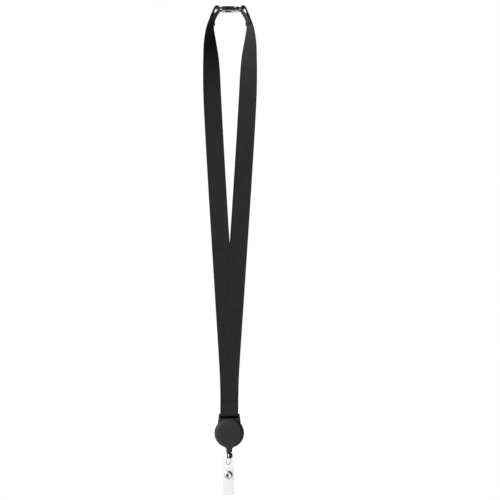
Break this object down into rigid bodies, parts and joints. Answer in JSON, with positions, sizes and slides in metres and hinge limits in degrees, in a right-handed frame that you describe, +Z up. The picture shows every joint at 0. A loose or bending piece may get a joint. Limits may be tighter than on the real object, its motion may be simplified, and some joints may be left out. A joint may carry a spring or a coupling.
{
  "type": "lanyard badge holder",
  "caption": "Neck lanyard of flat woven ribbon with a breakaway buckle, a round retractable cord reel, and a snap-closed vinyl strap for a badge.",
  "frame": {"origin": "middle of the breakaway buckle's underside, where the lanyard rests on the back of the neck", "axes": "+Z up along the hanging lanyard, +X to the viewer's right across the two legs, -Y to the front"},
  "size_m": [0.0602, 0.025, 0.5428],
  "materials": {
    "ribbon": "matt black woven polyester ribbon",
    "thread": "black polyester thread",
    "buckle_plastic": "moulded black acetal, semi-gloss",
    "case_plastic": "finely textured black moulded plastic",
    "spool_plastic": "natural nylon",
    "spring_steel": "blued spring strip",
    "cord": "braided black nylon cord",
    "hook_plastic": "moulded black acetal",
    "nickel_plate": "nickel-plated steel",
    "vinyl": "clear flexible vinyl, slightly cloudy"
  },
  "bodies": {
    "root": {"left_strap": "ribbon", "right_strap": "ribbon", "reel_strap_loop": "ribbon", "left_buckle_loop": "ribbon", "left_stitching": "thread", "reel_stitching": "thread", "buckle_socket": "buckle_plastic", "front_cover": "case_plastic", "rear_housing": "case_plastic", "cord_lead": "cord"},
    "plug_half": {"buckle_plug": "buckle_plastic", "right_buckle_loop": "ribbon", "right_stitching": "thread"},
    "spool": {"cord_spool": "spool_plastic", "spool_lid": "spool_plastic", "spiral_spring": "spring_steel", "wound_cord": "cord"},
    "cord_end": {"cord_ferrule": "nickel_plate", "pull_cord": "cord"},
    "hook": {"snap_hook": "hook_plastic"},
    "gate": {"hook_gate": "hook_plastic"},
    "ring": {"wire_ring": "nickel_plate"},
    "badge_strap": {"badge_strap_back": "vinyl", "snap_stud": "nickel_plate", "snap_post": "nickel_plate"},
    "flap": {"badge_strap_flap": "vinyl", "snap_cap": "nickel_plate", "snap_socket": "nickel_plate"}
  },
  "joints": [
    {"name": "buckle_release", "type": "slide", "parent": "root", "child": "plug_half", "axis": [1, 0, 0], "range_m": [0, 0.014]},
    {"name": "cord_pull", "type": "slide", "parent": "root", "child": "cord_end", "axis": [0, 0, -1], "range_m": [0, 0.6], "stiffness_N_per_m": 1, "springref_m": -0.5, "deforming": ["pull_cord"]},
    {"name": "spool_turn", "type": "hinge", "parent": "root", "child": "spool", "pos_m": [0, 0, -0.4678], "axis": [0, 1, 0], "range_deg": [0, 3300]},
    {"name": "hook_swivel", "type": "hinge", "parent": "cord_end", "child": "hook", "pos_m": [0, 0, -0.4896], "axis": [0, 0, 1], "continuous": true},
    {"name": "gate_press", "type": "hinge", "parent": "hook", "child": "gate", "pos_m": [-0.00223, 0.00223, -0.49205], "axis": [-0.7071, -0.7071, 0], "range_deg": [0, 12], "stiffness_Nm_per_rad": 0.002, "springref_deg": -11.46},
    {"name": "ring_swing", "type": "hinge", "parent": "hook", "child": "ring", "pos_m": [-0.00071, 0.00071, -0.4955], "axis": [0.866, -0.5, 0], "range_deg": [-40, 40]},
    {"name": "strap_swing", "type": "hinge", "parent": "ring", "child": "badge_strap", "pos_m": [-0.00071, 0.00071, -0.503], "axis": [1, 0, 0], "range_deg": [-20, 20]},
    {"name": "flap_open", "type": "hinge", "parent": "badge_strap", "child": "flap", "pos_m": [-0.00071, 0.00071, -0.537], "axis": [1, 0, 0], "range_deg": [0, 120]}
  ],
  "couplings": [
    {"joint": "spool_turn", "follows": "cord_pull", "rad_per_m": 94.787}
  ]
}
